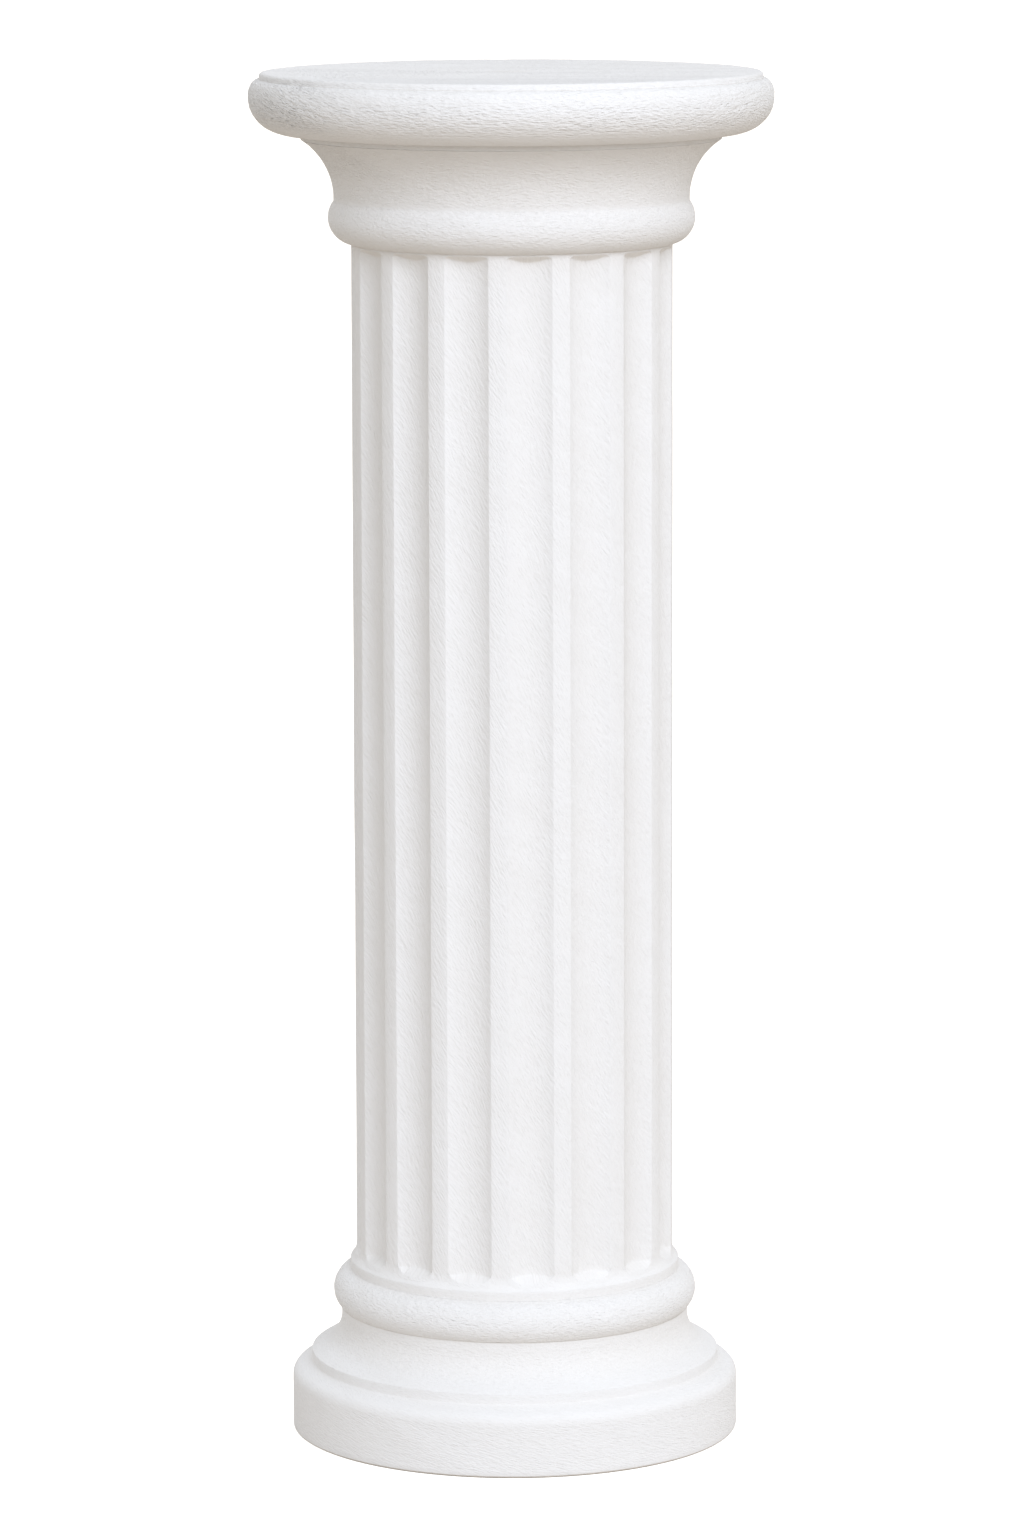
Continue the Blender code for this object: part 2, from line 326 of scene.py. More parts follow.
def cap_stretches():
    """The cap, from the shaft's head up to its flat top and in towards the axis."""
    edge = TOP_EDGE_ROUND
    edge_round = arc((TOP_RADIUS - edge, COLUMN_HEIGHT - edge), (edge, edge), 0, 90)
    margin = (TOP_RADIUS - edge - TOP_MARGIN, COLUMN_HEIGHT)
    rim_top = COLUMN_HEIGHT - TOP_FILLET_HEIGHT - SHOULDER_HEIGHT
    shoulder = arc((TOP_RADIUS, rim_top), (SHOULDER_PROJECTION, SHOULDER_HEIGHT), 0, 90)
    rim_foot = rim_top - RIM_HEIGHT
    bullnose_size = (BULLNOSE_ROUND_WIDTH, BULLNOSE_ROUND_HEIGHT)
    bullnose_centre = (BULLNOSE_RADIUS - BULLNOSE_ROUND_WIDTH, rim_foot)
    bullnose = []
    for start, end, marks in BULLNOSE_MARKS:
        part = arc(bullnose_centre, bullnose_size, start, end)
        bullnose.append(Stretch("bullnose", part, marks))
    soffit = (UNDER_FILLET_RADIUS, rim_foot - BULLNOSE_ROUND_HEIGHT)
    fillet_foot = (UNDER_FILLET_RADIUS, soffit[1] - UNDER_FILLET_HEIGHT)
    hollow_centre = CAP_NECK_RADIUS + CAVETTO_RADIUS
    sweep = circle_angle(-UNDER_FILLET_RADIUS, -hollow_centre, CAVETTO_RADIUS)
    hollow_foot = fillet_foot[1] - CAVETTO_RADIUS * math.sin(math.radians(sweep))
    hollow = arc((hollow_centre, hollow_foot), (CAVETTO_RADIUS, CAVETTO_RADIUS), 180, 180 - sweep)
    upper = circle_angle(CAP_NECK_RADIUS, ASTRAGAL_CENTRE, ASTRAGAL_RADIUS)
    lower = circle_angle(SHAFT_HEAD_RADIUS, ASTRAGAL_CENTRE, ASTRAGAL_RADIUS)
    neck_foot = (CAP_NECK_RADIUS, hollow_foot - CAP_NECK_HEIGHT)
    ring_height = neck_foot[1] - ASTRAGAL_RADIUS * math.sin(math.radians(upper))
    astragal = arc((ASTRAGAL_CENTRE, ring_height), (ASTRAGAL_RADIUS, ASTRAGAL_RADIUS), -lower, upper)
    return [
        Stretch("astragal", astragal),
        Stretch("cap_neck", (astragal[-1], hollow[0])),
        Stretch("cavetto", hollow),
        Stretch("under_fillet", (hollow[-1], soffit)),
        Stretch("soffit", (soffit, bullnose[0].points[0])),
        *bullnose,
        Stretch("rim", (bullnose[-1].points[-1], shoulder[0])),
        Stretch("shoulder", shoulder),
        Stretch("top_fillet", (shoulder[-1], edge_round[0])),
        Stretch("top_edge", edge_round),
        Stretch("top_margin", (edge_round[-1], margin)),
        Stretch("top", (margin, (TOP_CENTRE_GAP, COLUMN_HEIGHT))),
    ]


def direction(points, at_start):
    """The way a line of points runs, at its start or at its end."""
    a, b = (points[0], points[1]) if at_start else (points[-2], points[-1])
    step = b - a
    return step / np.hypot(*step)


def is_sharp(before, after):
    """Whether the outline turns sharply where two lines of points meet."""
    if before is None or after is None:
        return False
    turn = float(np.dot(direction(before, False), direction(after, True)))
    return turn < math.cos(SHARP_TURN)


def along(points, distances):
    """Points of an open line at the given distances from its start."""
    steps = np.hypot(*np.diff(points, axis=0).T)
    reached = np.concatenate(([0], np.cumsum(steps)))
    return np.column_stack([np.interp(distances, reached, points[:, i]) for i in range(2)])


def length_of(points):
    return float(np.hypot(*np.diff(points, axis=0).T).sum())


def ring_places(length, spacing, sharp_start, sharp_end):
    """Distances of the rings along one stretch, its start left out and its end kept."""
    first = CORNER_GAP if sharp_start else 0.0
    last = length - CORNER_GAP if sharp_end else length
    count = max(1, round((last - first) / spacing))
    places = list(np.linspace(first, last, count + 1))
    if not sharp_start:
        places = places[1:]
    if sharp_end:
        places.append(length)
    return places


def plain_rings(stretches, before, after):
    """Rings of a run of mouldings: radius, height, marks, painted crease shade, and whether the ring is a
    sharp corner.
    """
    rings = []
    lines = [before] + [stretch.points for stretch in stretches] + [after]
    for here, left, line, right in zip(stretches, lines, lines[1:], lines[2:]):
        sharp_start = is_sharp(left, line)
        sharp_end = is_sharp(line, right)
        length = length_of(line)
        # Painted shade: a dark crease at a moulding's inner corner, and painted shade all over some
        # mouldings
        moulding_shade = MOULDING_SHADE_DEPTHS.get(here.name, 0)
        places = ring_places(length, here.spacing, sharp_start, sharp_end)
        for place, (radius, height) in zip(places, along(line, places)):
            at_corner = sharp_end and place == length
            crease_shade = CREASE_SHADE_DEPTHS.get(here.name, moulding_shade) if at_corner else moulding_shade
            rings.append((radius, height, here.marks, crease_shade, at_corner))
    return rings


def flute_half_angle():
    return math.pi / FLUTE_COUNT * FLUTE_SHARE_OF_PITCH


def wall_radius(angle, shaft_radius):
    """Distance of a flute's round wall from the axis, at an angle from the flute's middle."""
    half = flute_half_angle()
    half_width = shaft_radius * math.sin(half)
    bottom = shaft_radius - FLUTE_DEPTH
    below_chord = shaft_radius * math.cos(half) - bottom
    wall = (half_width**2 + below_chord**2) / (2 * below_chord)
    centre = bottom + wall
    return centre * np.cos(angle) - np.sqrt(wall**2 - (centre * np.sin(angle)) ** 2)


def corner_rise(angle, share, height):
    """How far the rounding of a flute's end corner stands off the end's straight line."""
    start = flute_half_angle() * (1 - share)
    part = np.clip((np.abs(angle) - start) / (flute_half_angle() - start), 0, 1)
    return height * (1 - np.sqrt(1 - part**2))


class Shaft:
    """The fluted shaft, from the top of the base's band to the underside of the astragal."""

    def __init__(self, band_top, head):
        self.band_top = band_top
        self.head = head
        cove = SHAFT_COVE_RADIUS
        sweep = circle_angle(-BAND_RADIUS, -SHAFT_FOOT_RADIUS - cove, cove)
        self.foot = band_top + cove * math.sin(math.radians(sweep))

    def straight_radius(self, height):
        part = (height - self.foot) / (self.head - self.foot)
        return SHAFT_FOOT_RADIUS + (SHAFT_HEAD_RADIUS - SHAFT_FOOT_RADIUS) * np.clip(part, 0, 1)

    def outer_radius(self, height):
        """The shaft without flutes, with the cove at its foot."""
        cove = SHAFT_COVE_RADIUS
        below = np.clip(self.foot - height, 0, cove)
        return self.straight_radius(height) + cove - np.sqrt(cove**2 - below**2)

    def foot_line(self, angle, height):
        """Radius of the slope at a flute's foot."""
        start = self.band_top + FLUTE_FOOT_GAP
        start = start + corner_rise(angle, FLUTE_FOOT_CORNER_SHARE, FLUTE_FOOT_CORNER_HEIGHT)
        return SHAFT_FOOT_RADIUS - (height - start) / math.tan(FLUTE_FOOT_SLOPE)

    def head_line(self, angle, height):
        """Radius of the slope at a flute's head."""
        start = self.head - FLUTE_HEAD_GAP
        start = start - corner_rise(angle, FLUTE_HEAD_CORNER_SHARE, FLUTE_HEAD_CORNER_HEIGHT)
        return SHAFT_HEAD_RADIUS - (start - height) / math.tan(FLUTE_HEAD_SLOPE)

    def radius(self, angle, height):
        """The finished surface. The angle is from the middle of the nearest flute."""
        outer = self.outer_radius(height)
        half = flute_half_angle()
        inside = np.abs(angle) <= half
        wall = wall_radius(np.clip(angle, -half, half), self.straight_radius(height))
        cut = np.maximum(wall, np.maximum(self.foot_line(angle, height), self.head_line(angle, height)))
        return np.where(inside, np.minimum(outer, cut), outer)

    def end_lines(self, angle):
        """Heights at which each column of points crosses the four edges of the flute's two end slopes."""
        half = flute_half_angle()
        angle = np.clip(angle, -half, half)
        foot_rise = corner_rise(angle, FLUTE_FOOT_CORNER_SHARE, FLUTE_FOOT_CORNER_HEIGHT)
        head_drop = corner_rise(angle, FLUTE_HEAD_CORNER_SHARE, FLUTE_HEAD_CORNER_HEIGHT)
        foot_depth = SHAFT_FOOT_RADIUS - wall_radius(angle, SHAFT_FOOT_RADIUS)
        head_depth = SHAFT_HEAD_RADIUS - wall_radius(angle, SHAFT_HEAD_RADIUS)
        foot_back = self.band_top + FLUTE_FOOT_GAP + foot_rise + foot_depth * math.tan(FLUTE_FOOT_SLOPE)
        head_front = self.head - FLUTE_HEAD_GAP - head_drop
        head_back = head_front - head_depth * math.tan(FLUTE_HEAD_SLOPE)
        low = np.full_like(angle, self.band_top)
        high = self.band_top + FLUTE_FOOT_GAP + foot_rise
        for _ in range(40):
            middle = (low + high) / 2
            above = self.outer_radius(middle) > self.foot_line(angle, middle)
            high = np.where(above, middle, high)
            low = np.where(above, low, middle)
        foot_front = np.minimum(high, foot_back - LEAST_END_SLOPE)
        head_front = np.maximum(head_front, head_back + LEAST_END_SLOPE)
        return foot_front, foot_back, head_back, head_front


def column_angles():
    """Turn of each column of points about the axis, and its angle from the middle of its own flute."""
    half = flute_half_angle()
    pitch = 2 * math.pi / FLUTE_COUNT
    gap = ARRIS_GAP / SHAFT_FOOT_RADIUS
    inner = half - gap
    even = np.linspace(-1, 1, FLUTE_STEPS + 1)
    eased = between(even, np.sin(even * math.pi / 2), ARRIS_CROWDING)
    across = np.concatenate(([-half], inner * eased, [half]))
    fillet = np.linspace(half + gap, pitch - half - gap, FILLET_STEPS + 1)
    local = np.concatenate((across, fillet))
    turns = []
    for i in range(FLUTE_COUNT):
        turns.append(FRONT_FILLET_TURN + pitch * (i + 0.5) + local)
    from_middle = np.where(local > pitch / 2, local - pitch, local)
    is_arris = np.isclose(np.abs(local), half)
    return np.concatenate(turns), np.tile(from_middle, FLUTE_COUNT), np.tile(is_arris, FLUTE_COUNT)


def even_turns(turns):
    """The same number of turns, spread evenly, for the parts without flutes."""
    count = len(turns)
    spread = turns[0] + np.arange(count) * 2 * math.pi / count
    return spread + (turns - spread).mean()


def between(low, high, shares):
    return low + (high - low) * shares


def shaft_grid(shaft, angles):
    """Heights of all shaft points, ring by ring, and which rings are soft corners."""
    foot_front, foot_back, head_back, head_front = shaft.end_lines(angles)
    bottom = np.full_like(angles, shaft.band_top)
    plain_low = np.full_like(angles, PLAIN_BELOW)
    plain_high = np.full_like(angles, PLAIN_ABOVE)
    top = np.full_like(angles, shaft.head)
    count = round((PLAIN_ABOVE - PLAIN_BELOW) / SHAFT_RING_SPACING)
    runs = [
        (bottom, foot_front, (0.08, 0.25, 0.42, 0.58, 0.74, 0.88, 1)),
        (foot_front, foot_back, (0.15, 0.38, 0.62, 0.85, 1)),
        (foot_back, plain_low, (0.07, 0.3, 0.6, 1)),
        (plain_low, plain_high, [i / count for i in range(1, count + 1)]),
        (plain_high, head_back, (0.35, 0.7, 0.92, 1)),
        (head_back, head_front, (0.15, 0.5, 0.85, 1)),
        (head_front, top, (0.4, 0.75, 1)),
    ]
    soft_ends = (True, True, False, False, True, True, True)
    heights, corners = [], []
    for (low, high, shares), soft in zip(runs, soft_ends):
        for share in shares:
            heights.append(between(low, high, share))
            corners.append(soft and share == 1)
    return np.array(heights), corners


def smooth_step(value):
    value = np.clip(value, 0, 1)
    return value * value * (3 - 2 * value)


class Ring:
    """One ring of points, with its depth of tool marks, its painted crease shade and whether it is a sharp
    corner.
    """

    def __init__(self, turns, radius, height, marks, crease_shade, corner):
        radius = np.broadcast_to(radius, turns.shape)
        height = np.broadcast_to(height, turns.shape)
        self.points = np.column_stack((radius * np.sin(turns), -radius * np.cos(turns), height))
        self.marks = marks
        self.crease_shade = crease_shade
        self.corner = corner


class Surface:
    """The grid of points: one row for each ring from the floor up, one column for each turn."""

    def __init__(self):
        base = base_stretches()
        cap = cap_stretches()
        shaft = Shaft(float(base[-1].points[-1][1]), float(cap[0].points[0][1]))
        foot_edge = (PLINTH_RADIUS - PLINTH_FOOT_ROUND, 0.0)
        underside = np.array(((0.0, 0.0), foot_edge))
        cove_side = np.array(((BAND_RADIUS, shaft.band_top), (SHAFT_FOOT_RADIUS, shaft.foot)))
        head_side = np.array(((SHAFT_HEAD_RADIUS, shaft.foot), (SHAFT_HEAD_RADIUS, shaft.head)))
        low = [(*foot_edge, 0.0, 0.0, True)] + plain_rings(base, underside, cove_side)
        high = plain_rings(cap, head_side, None)
        turns, angles, self.arris = column_angles()
        heights, corners = shaft_grid(shaft, angles)
        round_turns = even_turns(turns)
        rings = []
        for radius, height, marks, crease_shade, corner in low:
            evenness = smooth_step((shaft.band_top - height) / EVEN_BELOW_BAND)
            ring_turns = between(turns, round_turns, evenness)
            rings.append(Ring(ring_turns, radius, height, marks, crease_shade, corner))
        self.first_shaft = len(rings)
        for height, corner in zip(heights, corners):
            rings.append(Ring(turns, shaft.radius(angles, height), height, SHAFT_MARKS, 0, corner))
        self.last_shaft = len(rings) - 1
        for radius, height, marks, crease_shade, corner in high:
            evenness = smooth_step((height - shaft.head) / EVEN_ABOVE_SHAFT)
            ring_turns = between(turns, round_turns, evenness)
            rings.append(Ring(ring_turns, radius, height, marks, crease_shade, corner))
        flat_rings = [ring for ring in high if ring[1] > COLUMN_HEIGHT - 1e-6]
        self.top_edge = len(rings) - len(flat_rings)
        self.points = np.array([ring.points for ring in rings])
        self.marks = np.array([ring.marks for ring in rings])
        self.crease_shades = np.array([ring.crease_shade for ring in rings], float)
        # Painted contact shadow along the bottom edge of the foot
        self.crease_shades[self.points[:, :, 2].max(axis=1) < FOOT_SHADOW_HEIGHT] = FOOT_SHADOW
        self.sharp = np.array([ring.corner for ring in rings])
        self.along = self.distance_along()
        self.climb = np.minimum(self.along, self.along[self.top_edge])
        reach = np.hypot(self.points[:, 0, 0], self.points[:, 0, 1])
        on_top = np.arange(len(reach)) > self.top_edge
        self.top_share = np.where(on_top, reach / reach[self.top_edge], 1.0)

    def fillet_column(self):
        """The column of points that runs up the middle of a fillet."""
        ring = self.points[self.first_shaft + PLAIN_SHAFT_RING]
        return int(np.argmax(np.hypot(ring[:, 0], ring[:, 1])))

    def distance_along(self):
        """Distance of each ring from the first one, measured up the surface of the fillets."""
        line = self.points[:, self.fillet_column()]
        steps = np.linalg.norm(np.diff(line, axis=0), axis=1)
        return np.concatenate(([0], np.cumsum(steps)))

    def soften(self):
        """Takes the knife edge off the sharp rings and off the two arrises of every flute."""
        p = self.points
        for k in np.nonzero(self.sharp)[0]:
            if 0 < k < len(p) - 1:
                p[k] += CORNER_SOFTENING * ((p[k - 1] + p[k + 1]) / 2 - p[k])
        rows = slice(self.first_shaft + 1, self.last_shaft)
        left = np.roll(p, 1, axis=1)
        right = np.roll(p, -1, axis=1)
        middle = (left + right) / 2
        p[rows, self.arris] += CORNER_SOFTENING * (middle[rows, self.arris] - p[rows, self.arris])

    def normals(self):
        """The way the surface faces at each point."""
        p = self.points
        up = np.gradient(p, axis=0)
        around = np.roll(p, -1, axis=1) - np.roll(p, 1, axis=1)
        normal = np.cross(around, up)
        size = np.linalg.norm(normal, axis=2, keepdims=True)
        return normal / np.maximum(size, 1e-12)


def painted_warm_shade(surface):
    """From 0 to 1, how much warm shade is painted at each point: in hollows of the outline, in flutes and
    underneath.
    """
    p = surface.points
    reach = np.hypot(p[:, :, 0], p[:, :, 1])
    outer = reach.max(axis=1)
    gap = surface.along[:, None] - surface.along
    weight = np.exp(-0.5 * (gap / HOLLOW_REACH) ** 2) * np.gradient(surface.along)
    nearby = weight @ outer / weight.sum(axis=1)
    hollow = np.clip((nearby - outer) / HOLLOW_DEPTH, 0, 1)[:, None]
    flute = (outer[:, None] - reach) / FLUTE_DEPTH
    under = np.clip(-surface.normals()[:, :, 2], 0, 1)
    warm_shade = SHADE_IN_HOLLOWS * hollow + SHADE_IN_FLUTES * flute + SHADE_UNDERNEATH * under
    return np.clip(warm_shade, 0, 1)


def level_places(surface):
    """Places on an upright skin, so that level strokes run round it."""
    p = surface.points
    turn = np.arctan2(p[:, :, 0], -p[:, :, 1])
    radius = SKIN_RADIUS * surface.top_share[:, None]
    climb = surface.climb[:, None]
    return np.stack((radius * np.sin(turn), -radius * np.cos(turn), climb + 0 * turn), axis=2)


def tilted_share(surface):
    """How far the strokes lean, from 0 for level ones to 1: on the plinth, and on the cap's left side."""
    p = surface.points
    turn = np.degrees(np.arctan2(p[:, :, 0], -p[:, :, 1]))
    leaning = 1 - smooth_step((np.abs(turn + LEAN_MIDDLE) - LEAN_REACH) / LEAN_FADE)
    cap = smooth_step((p[:, :, 2] - CAP_FOOT) / LEAN_EDGE)
    plinth = smooth_step((PLINTH_HEIGHT + STEP_HEIGHT - p[:, :, 2]) / LEAN_EDGE)
    return np.maximum(cap * leaning, PLINTH_LEAN * plinth)


def tilted_places(surface, tilt):
    """Places on a skin that is turned as it climbs, so that strokes with this tilt run straight up it."""
    p = surface.points
    turn = np.arctan2(p[:, :, 0], -p[:, :, 1])
    climb = surface.climb[:, None]
    turned = turn + climb / math.tan(tilt) / SKIN_RADIUS
    radius = SKIN_RADIUS * surface.top_share[:, None]
    return np.stack((radius * np.sin(turned), -radius * np.cos(turned), climb + 0 * turn), axis=2)


def level_scale(length, width):
    """Noise scale on the upright skin for level strokes of this length and width."""
    return (1 / length, 1 / length, 1 / width)


def tilted_scale(tilt, length, width):
    """Noise scale on the turned skin for strokes of this length and width."""
    across = math.sin(tilt) / width
    return (across, across, 1 / (length * math.sin(tilt)))


def noise_field(places, scale, shift):
    """Smooth noise from -1 to 1 at each place, its cells as long as 1 / scale along each axis."""
    flat = places.reshape(-1, 3) * scale + shift
    values = [noise.noise(Vector(place)) for place in flat.tolist()]
    return np.array(values).reshape(places.shape[:2])


def warped(places):
    """The places moved about a little, so that strokes wander."""
    scale = 1 / WARP_LENGTH
    moves = [noise_field(places, scale, shift) for shift in WARP_SHIFTS]
    return places + WARP_DEPTH * np.stack(moves, axis=2)


def add_relief(surface, level, strokes, tilted):
    """Sinks the surface by the hand finish: a slow swell, lumps, and the ridges left by a dragged tool."""
    swell = noise_field(surface.points, 1 / SWELL_LENGTH, SWELL_SHIFT)
    lumps = noise_field(level, 1 / LUMP_LENGTH, LUMP_SHIFT)
    level_ridge = np.array(level_scale(RIDGE_LENGTH, RIDGE_WIDTH))
    leaning_ridge = np.array(tilted_scale(STROKE_TILT, RIDGE_LENGTH, RIDGE_WIDTH))
    level_ridges = noise_field(level, level_ridge, LEVEL_RIDGE_SHIFT)
    leaning_ridges = noise_field(strokes, leaning_ridge, LEANING_RIDGE_SHIFT)
    ridges = 1 - 2 * np.abs(between(level_ridges, leaning_ridges, tilted))
    marks = surface.marks[:, None]
    depth = SWELL_DEPTH * (1 - swell)
    depth = depth + marks * LUMP_DEPTH * (1 - lumps)
    depth = depth + marks * RIDGE_DEPTH * (1 - ridges)
    # The first ring lies in the underside, which stays flat
    depth[0] = 0
    surface.points -= surface.normals() * depth[:, :, None]
    surface.points[:, :, 2] = np.clip(surface.points[:, :, 2], 0, COLUMN_HEIGHT)


def main():
    surface = Surface()
    surface.soften()
    level = warped(level_places(surface))
    strokes = warped(tilted_places(surface, STROKE_TILT))
    hatches = warped(tilted_places(surface, HATCH_TILT))
    tilted = tilted_share(surface)
    # Warm shade painted in hollows, flutes and undersides
    warm_shade = painted_warm_shade(surface)
    add_relief(surface, level, strokes, tilted)
    build_column(surface, level, strokes, hatches, tilted, warm_shade)


def add_places(mesh, name, places):
    """Stores one place for each point of the grid, and the end rings' middles for the two end points."""
    values = np.concatenate((places.reshape(-1, 3), places[[0, -1]].mean(axis=1)))
    attribute = mesh.attributes.new(name, "FLOAT_VECTOR", "POINT")
    attribute.data.foreach_set("vector", values.astype(np.float32).ravel())


def add_amounts(mesh, name, amounts):
    """Stores one amount for each point of the grid, and the end rings' means for the two end points."""
    values = np.concatenate((amounts.ravel(), amounts[[0, -1]].mean(axis=1)))
    attribute = mesh.attributes.new(name, "FLOAT", "POINT")
    attribute.data.foreach_set("value", values.astype(np.float32))


def for_each_point(values, columns):
    """One value for each ring, repeated for all of its points."""
    return np.repeat(values[:, None], columns, axis=1)


def grid_faces(rings, columns):
    """Quads between neighbouring rings, and a fan of triangles at each end."""
    k, c = np.meshgrid(np.arange(rings - 1), np.arange(columns), indexing="ij")
    here = k * columns + c
    beside = k * columns + (c + 1) % columns
    faces = np.stack((here, beside, beside + columns, here + columns), axis=2).reshape(-1, 4).tolist()
    under, over = rings * columns, rings * columns + 1
    last = (rings - 1) * columns
    for i in range(columns):
        j = (i + 1) % columns
        faces.append((under, j, i))
        faces.append((last + i, last + j, over))
    return faces


def build_column(surface, level, strokes, hatches, tilted, warm_shade):
    rings, columns, _ = surface.points.shape
    ends = [(0.0, 0.0, 0.0), (0.0, 0.0, COLUMN_HEIGHT)]
    vertices = np.concatenate((surface.points.reshape(-1, 3), ends))
    mesh = bpy.data.meshes.new("column_plaster")
    mesh.from_pydata(vertices.tolist(), [], grid_faces(rings, columns))
    mesh.update()
    mesh.shade_smooth()
    piece = bpy.data.objects.new("column_plaster", mesh)
    bpy.context.collection.objects.link(piece)
    fluted = np.zeros(rings)
    fluted[surface.first_shaft + COVE_RINGS : surface.last_shaft] = 1
    on_top = (np.arange(rings) >= surface.top_edge).astype(float)
    add_places(mesh, "level", level)
    add_places(mesh, "strokes", strokes)
    add_places(mesh, "hatches", hatches)
    add_amounts(mesh, "fluted", for_each_point(fluted, columns))
    add_amounts(mesh, "marks", for_each_point(surface.marks, columns))
    add_amounts(mesh, "top", for_each_point(on_top, columns))
    # Painted shade in creases and a painted contact shadow at the foot
    add_amounts(mesh, "painted_crease_shade", for_each_point(surface.crease_shades, columns))
    add_amounts(mesh, "tilted", tilted)
    # Painted warm shade in hollows, flutes and undersides
    add_amounts(mesh, "warm_shade", warm_shade)
    mesh.materials.append(plaster())
    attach(piece, "root")
    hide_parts("column")


def put(tree, value, socket):
    """Links a socket to another one, or sets it to a plain value."""
    if isinstance(value, bpy.types.NodeSocket):
        tree.links.new(value, socket)
    else:
        socket.default_value = value


def vector_maths(tree, operation, a, b=(0, 0, 0)):
    node = tree.nodes.new("ShaderNodeVectorMath")
    node.operation = operation
    put(tree, a, node.inputs[0])
    put(tree, b, node.inputs[1])
    return node


class Nodes:
    """Adds shader nodes to one material and links them."""

    def __init__(self, material):
        self.tree = material.node_tree
        self.shader = self.tree.nodes["Principled BSDF"]

    def put(self, value, socket):
        put(self.tree, value, socket)

    def attribute(self, name, output):
        node = self.tree.nodes.new("ShaderNodeAttribute")
        node.attribute_name = name
        return node.outputs[output]

    def object_place(self):
        return self.tree.nodes.new("ShaderNodeTexCoord").outputs["Object"]

    def reach(self, vector, toward):
        """How far a place lies in a direction."""
        return vector_maths(self.tree, "DOT_PRODUCT", vector, toward).outputs["Value"]

    def math(self, operation, a, b=0.0, clamp=False):
        node = self.tree.nodes.new("ShaderNodeMath")
        node.operation = operation
        node.use_clamp = clamp
        self.put(a, node.inputs[0])
        self.put(b, node.inputs[1])
        return node.outputs[0]

    def scaled(self, vector, scale):
        return vector_maths(self.tree, "MULTIPLY", vector, scale).outputs["Vector"]

    def noise(self, vector, scale, detail=2.0, roughness=0.5):
        node = self.tree.nodes.new("ShaderNodeTexNoise")
        self.put(self.scaled(vector, scale), node.inputs["Vector"])
        node.inputs["Scale"].default_value = 1.0
        node.inputs["Detail"].default_value = detail
        node.inputs["Roughness"].default_value = roughness
        return node.outputs["Fac"]

    def remap(self, value, low, high, new_low, new_high):
        node = self.tree.nodes.new("ShaderNodeMapRange")
        self.put(value, node.inputs["Value"])
        node.inputs["From Min"].default_value = low
        node.inputs["From Max"].default_value = high
        node.inputs["To Min"].default_value = new_low
        node.inputs["To Max"].default_value = new_high
        return node.outputs["Result"]

    def nicks(self, vector, scale, thinness):
        """0 along thin wandering lines and 1 beside them."""
        waves = self.noise(vector, scale, detail=1.0)
        away = self.math("ABSOLUTE", self.math("SUBTRACT", waves, 0.5))
        return self.math("MULTIPLY", away, thinness, clamp=True)

    def pits(self, vector, spacing, size):
        """1 on the plain surface and 0 at the bottom of small round pits."""
        node = self.tree.nodes.new("ShaderNodeTexVoronoi")
        self.put(self.scaled(vector, (1 / spacing,) * 3), node.inputs["Vector"])
        node.inputs["Scale"].default_value = 1.0
        return self.remap(node.outputs["Distance"], 0.0, size / spacing, 0.0, 1.0)

    def blend(self, share, a, b):
        """a where the share is 0 and b where it is 1."""
        return self.math("ADD", a, self.math("MULTIPLY", share, self.math("SUBTRACT", b, a)))

    def mix(self, share, a, b):
        node = self.tree.nodes.new("ShaderNodeMix")
        node.data_type = "RGBA"
        self.put(share, node.inputs["Factor"])
        self.put(a, node.inputs["A"])
        self.put(b, node.inputs["B"])
        return node.outputs["Result"]

    def bump(self, height, distance, normal=None):
        node = self.tree.nodes.new("ShaderNodeBump")
        node.inputs["Strength"].default_value = 1.0
        node.inputs["Distance"].default_value = distance
        self.put(height, node.inputs["Height"])
        if normal is not None:
            self.put(normal, node.inputs["Normal"])
        return node.outputs["Normal"]


def top_painted_shade(n):
    """From 0 to 1, how much shade is painted on the flat top: in faint grey streaks, and more towards its
    front edge.
    """
    place = n.object_place()
    streaks = n.remap(n.noise(place, STREAK_SCALE), *STREAK_RANGE, 0.0, STREAK_SHARE)
    front = n.remap(n.reach(place, (0, -1, 0)), *TOP_SHADE_FRONT, 0.0, TOP_SHADE_FRONT_SHARE)
    return n.math("MULTIPLY", n.math("ADD", streaks, front), n.attribute("top", "Fac"))


class Marks:
    """What the plaster's nodes read from the mesh, and the lines of the tool."""

    def __init__(self, n):
        level = n.attribute("level", "Vector")
        hatches = n.attribute("hatches", "Vector")
        tilted = n.attribute("tilted", "Fac")
        marks = n.attribute("marks", "Fac")
        self.strokes = n.attribute("strokes", "Vector")
        self.fluted = n.attribute("fluted", "Fac")
        gain = n.math("ADD", 1.0, n.math("MULTIPLY", tilted, TILTED_GAIN))
        self.strength = n.math("MULTIPLY", marks, gain)
        leaning_drag_scale = tilted_scale(STROKE_TILT, DRAG_LENGTH, DRAG_WIDTH)
        leaning_nick_scale = tilted_scale(STROKE_TILT, NICK_LENGTH, NICK_WIDTH)
        hatch_scale = tilted_scale(HATCH_TILT, HATCH_LENGTH, HATCH_WIDTH)
        level_drag = n.noise(level, level_scale(DRAG_LENGTH, DRAG_WIDTH), detail=1.0)
        leaning_drag = n.noise(self.strokes, leaning_drag_scale, detail=1.0)
        level_nicks = n.nicks(level, level_scale(NICK_LENGTH, NICK_WIDTH), NICK_THINNESS)
        leaning_nicks = n.nicks(self.strokes, leaning_nick_scale, NICK_THINNESS)
        self.drag = n.blend(tilted, level_drag, leaning_drag)
        self.nicks = n.blend(tilted, level_nicks, leaning_nicks)
        self.hatch = n.noise(hatches, hatch_scale, detail=1.0)


